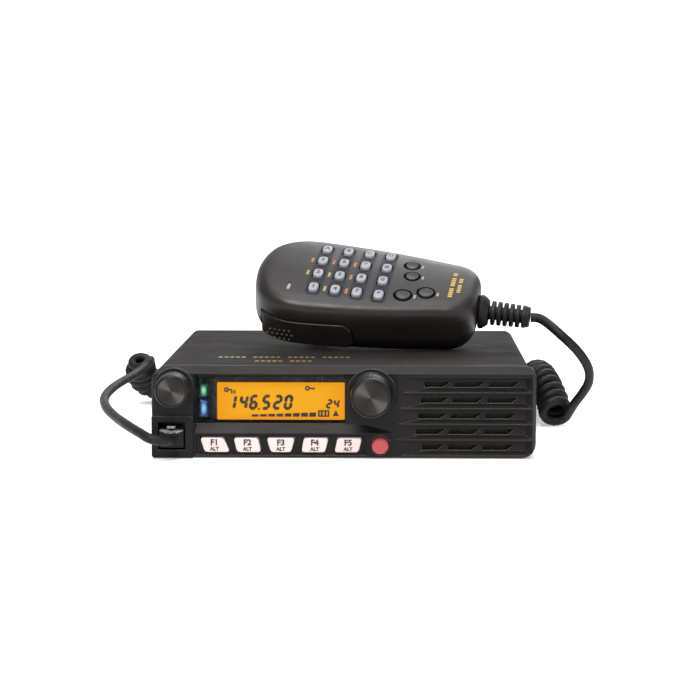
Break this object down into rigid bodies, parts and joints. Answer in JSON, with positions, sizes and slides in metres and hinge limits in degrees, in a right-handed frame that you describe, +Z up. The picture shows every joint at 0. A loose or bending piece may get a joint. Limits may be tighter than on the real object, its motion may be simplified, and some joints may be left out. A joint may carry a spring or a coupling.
{
  "type": "mobile transceiver",
  "caption": "Low, wide amateur radio with an amber display, knobs and slotted front; a keypad hand microphone lies on its lid, joined by a curly cord behind.",
  "frame": {"origin": "on the table, under the middle of the box round the radio and its microphone, with the cord left out", "axes": "+X to the right as seen from the front, +Y from the front panel to the rear, +Z up"},
  "size_m": [0.2139, 0.1975, 0.0817],
  "materials": {
    "cast_black": "black painted die-cast aluminium, fine grain",
    "lid_black": "black textured paint on sheet steel",
    "panel_black": "black moulded plastic with a soft satin sheen",
    "smoked_window": "clear smoked acrylic window",
    "amber_display": "amber back-lit liquid crystal display",
    "green_indicator": "lit green light pipe",
    "blue_indicator": "lit blue light pipe",
    "knob_black": "black knob with a spun front face",
    "plated_steel": "plated steel",
    "white_key": "white back-lit key cap, satin",
    "red_button": "red satin key cap",
    "circuit_board": "green circuit board laminate",
    "dark_plastic": "black moulded plastic",
    "speaker_black": "black loudspeaker, steel basket and paper cone",
    "nickel": "nickel plated brass",
    "black_rubber": "matte black rubber",
    "black_screw": "blackened steel screw",
    "clear_plug": "clear modular plug",
    "mic_black": "black moulded plastic, fine matte grain",
    "grey_key": "light blue-grey translucent rubber key"
  },
  "bodies": {
    "radio": {"chassis": "cast_black", "top_cover": "lid_black", "front_panel": "panel_black", "display_window": "smoked_window", "display_panel": "amber_display", "indicator_green": "green_indicator", "indicator_blue": "blue_indicator", "volume_control": "plated_steel", "dial_encoder": "plated_steel", "control_board": "circuit_board", "mic_socket": "dark_plastic", "speaker": "speaker_black", "main_board": "circuit_board", "power_module": "plated_steel", "fan_frame": "dark_plastic", "antenna_socket": "nickel", "speaker_jack": "nickel", "dc_lead_gland": "black_rubber", "cover_screw_1": "black_screw", "cover_screw_2": "black_screw", "cover_screw_3": "black_screw", "cover_screw_4": "black_screw", "mic_plug": "clear_plug", "cord_mic_tail": "black_rubber", "cord_curl": "black_rubber", "cord_socket_tail": "black_rubber"},
    "volume_knob": {"volume_knob": "knob_black"},
    "dial_knob": {"dial_knob": "knob_black"},
    "power_button": {"power_button": "red_button"},
    "fan_rotor": {"fan_rotor": "dark_plastic"},
    "microphone": {"mic_front_case": "mic_black", "mic_rear_case": "mic_black", "mic_board": "circuit_board", "mic_strain_relief": "black_rubber"},
    "ptt_bar": {"ptt_bar": "mic_black"},
    "function_key_1": {"function_key_1": "white_key"},
    "function_key_2": {"function_key_2": "white_key"},
    "function_key_3": {"function_key_3": "white_key"},
    "function_key_4": {"function_key_4": "white_key"},
    "function_key_5": {"function_key_5": "white_key"},
    "mic_key_1": {"mic_key_1": "grey_key"},
    "mic_key_2": {"mic_key_2": "grey_key"},
    "mic_key_3": {"mic_key_3": "grey_key"},
    "mic_key_a": {"mic_key_a": "grey_key"},
    "mic_key_4": {"mic_key_4": "grey_key"},
    "mic_key_5": {"mic_key_5": "grey_key"},
    "mic_key_6": {"mic_key_6": "grey_key"},
    "mic_key_b": {"mic_key_b": "grey_key"},
    "mic_key_7": {"mic_key_7": "grey_key"},
    "mic_key_8": {"mic_key_8": "grey_key"},
    "mic_key_9": {"mic_key_9": "grey_key"},
    "mic_key_c": {"mic_key_c": "grey_key"},
    "mic_key_star": {"mic_key_star": "grey_key"},
    "mic_key_0": {"mic_key_0": "grey_key"},
    "mic_key_hash": {"mic_key_hash": "grey_key"},
    "mic_key_d": {"mic_key_d": "grey_key"},
    "program_key_1": {"program_key_1": "mic_black"},
    "program_key_2": {"program_key_2": "mic_black"},
    "program_key_3": {"program_key_3": "mic_black"},
    "program_key_4": {"program_key_4": "mic_black"}
  },
  "joints": [
    {"name": "volume_turn", "type": "hinge", "parent": "radio", "child": "volume_knob", "pos_m": [-0.06897, -0.074, 0.0284], "axis": [0, -1, 0], "range_deg": [-150, 150]},
    {"name": "dial_turn", "type": "hinge", "parent": "radio", "child": "dial_knob", "pos_m": [0.01003, -0.074, 0.0264], "axis": [0, -1, 0], "continuous": true},
    {"name": "fan_spin", "type": "hinge", "parent": "radio", "child": "fan_rotor", "pos_m": [0.02493, 0.07, 0.0185], "axis": [0, 1, 0], "continuous": true},
    {"name": "function_key_1_press", "type": "slide", "parent": "radio", "child": "function_key_1", "axis": [0, 1, 0], "range_m": [0, 0.0008], "stiffness_N_per_m": 900},
    {"name": "function_key_2_press", "type": "slide", "parent": "radio", "child": "function_key_2", "axis": [0, 1, 0], "range_m": [0, 0.0008], "stiffness_N_per_m": 900},
    {"name": "function_key_3_press", "type": "slide", "parent": "radio", "child": "function_key_3", "axis": [0, 1, 0], "range_m": [0, 0.0008], "stiffness_N_per_m": 900},
    {"name": "function_key_4_press", "type": "slide", "parent": "radio", "child": "function_key_4", "axis": [0, 1, 0], "range_m": [0, 0.0008], "stiffness_N_per_m": 900},
    {"name": "function_key_5_press", "type": "slide", "parent": "radio", "child": "function_key_5", "axis": [0, 1, 0], "range_m": [0, 0.0008], "stiffness_N_per_m": 900},
    {"name": "power_press", "type": "slide", "parent": "radio", "child": "power_button", "axis": [0, 1, 0], "range_m": [0, 0.0008], "stiffness_N_per_m": 900},
    {"name": "microphone_lift", "type": "slide", "parent": "radio", "child": "microphone", "axis": [0, 0, 1], "range_m": [0, 0.06]},
    {"name": "ptt_squeeze", "type": "hinge", "parent": "microphone", "child": "ptt_bar", "pos_m": [0.0015, -0.014, 0.04541], "axis": [-0.0231, 0.4806, -0.8766], "range_deg": [0, 3], "stiffness_Nm_per_rad": 1.2},
    {"name": "mic_key_1_press", "type": "slide", "parent": "microphone", "child": "mic_key_1", "axis": [-0.0231, 0.4806, -0.8766], "range_m": [0, 0.0006], "stiffness_N_per_m": 900},
    {"name": "mic_key_2_press", "type": "slide", "parent": "microphone", "child": "mic_key_2", "axis": [-0.0231, 0.4806, -0.8766], "range_m": [0, 0.0006], "stiffness_N_per_m": 900},
    {"name": "mic_key_3_press", "type": "slide", "parent": "microphone", "child": "mic_key_3", "axis": [-0.0231, 0.4806, -0.8766], "range_m": [0, 0.0006], "stiffness_N_per_m": 900},
    {"name": "mic_key_a_press", "type": "slide", "parent": "microphone", "child": "mic_key_a", "axis": [-0.0231, 0.4806, -0.8766], "range_m": [0, 0.0006], "stiffness_N_per_m": 900},
    {"name": "mic_key_4_press", "type": "slide", "parent": "microphone", "child": "mic_key_4", "axis": [-0.0231, 0.4806, -0.8766], "range_m": [0, 0.0006], "stiffness_N_per_m": 900},
    {"name": "mic_key_5_press", "type": "slide", "parent": "microphone", "child": "mic_key_5", "axis": [-0.0231, 0.4806, -0.8766], "range_m": [0, 0.0006], "stiffness_N_per_m": 900},
    {"name": "mic_key_6_press", "type": "slide", "parent": "microphone", "child": "mic_key_6", "axis": [-0.0231, 0.4806, -0.8766], "range_m": [0, 0.0006], "stiffness_N_per_m": 900},
    {"name": "mic_key_b_press", "type": "slide", "parent": "microphone", "child": "mic_key_b", "axis": [-0.0231, 0.4806, -0.8766], "range_m": [0, 0.0006], "stiffness_N_per_m": 900},
    {"name": "mic_key_7_press", "type": "slide", "parent": "microphone", "child": "mic_key_7", "axis": [-0.0231, 0.4806, -0.8766], "range_m": [0, 0.0006], "stiffness_N_per_m": 900},
    {"name": "mic_key_8_press", "type": "slide", "parent": "microphone", "child": "mic_key_8", "axis": [-0.0231, 0.4806, -0.8766], "range_m": [0, 0.0006], "stiffness_N_per_m": 900},
    {"name": "mic_key_9_press", "type": "slide", "parent": "microphone", "child": "mic_key_9", "axis": [-0.0231, 0.4806, -0.8766], "range_m": [0, 0.0006], "stiffness_N_per_m": 900},
    {"name": "mic_key_c_press", "type": "slide", "parent": "microphone", "child": "mic_key_c", "axis": [-0.0231, 0.4806, -0.8766], "range_m": [0, 0.0006], "stiffness_N_per_m": 900},
    {"name": "mic_key_star_press", "type": "slide", "parent": "microphone", "child": "mic_key_star", "axis": [-0.0231, 0.4806, -0.8766], "range_m": [0, 0.0006], "stiffness_N_per_m": 900},
    {"name": "mic_key_0_press", "type": "slide", "parent": "microphone", "child": "mic_key_0", "axis": [-0.0231, 0.4806, -0.8766], "range_m": [0, 0.0006], "stiffness_N_per_m": 900},
    {"name": "mic_key_hash_press", "type": "slide", "parent": "microphone", "child": "mic_key_hash", "axis": [-0.0231, 0.4806, -0.8766], "range_m": [0, 0.0006], "stiffness_N_per_m": 900},
    {"name": "mic_key_d_press", "type": "slide", "parent": "microphone", "child": "mic_key_d", "axis": [-0.0231, 0.4806, -0.8766], "range_m": [0, 0.0006], "stiffness_N_per_m": 900},
    {"name": "program_key_1_press", "type": "slide", "parent": "microphone", "child": "program_key_1", "axis": [-0.0231, 0.4806, -0.8766], "range_m": [0, 0.0005], "stiffness_N_per_m": 900},
    {"name": "program_key_2_press", "type": "slide", "parent": "microphone", "child": "program_key_2", "axis": [-0.0231, 0.4806, -0.8766], "range_m": [0, 0.0005], "stiffness_N_per_m": 900},
    {"name": "program_key_3_press", "type": "slide", "parent": "microphone", "child": "program_key_3", "axis": [-0.0231, 0.4806, -0.8766], "range_m": [0, 0.0005], "stiffness_N_per_m": 900},
    {"name": "program_key_4_press", "type": "slide", "parent": "microphone", "child": "program_key_4", "axis": [-0.0231, 0.4806, -0.8766], "range_m": [0, 0.0005], "stiffness_N_per_m": 900}
  ]
}
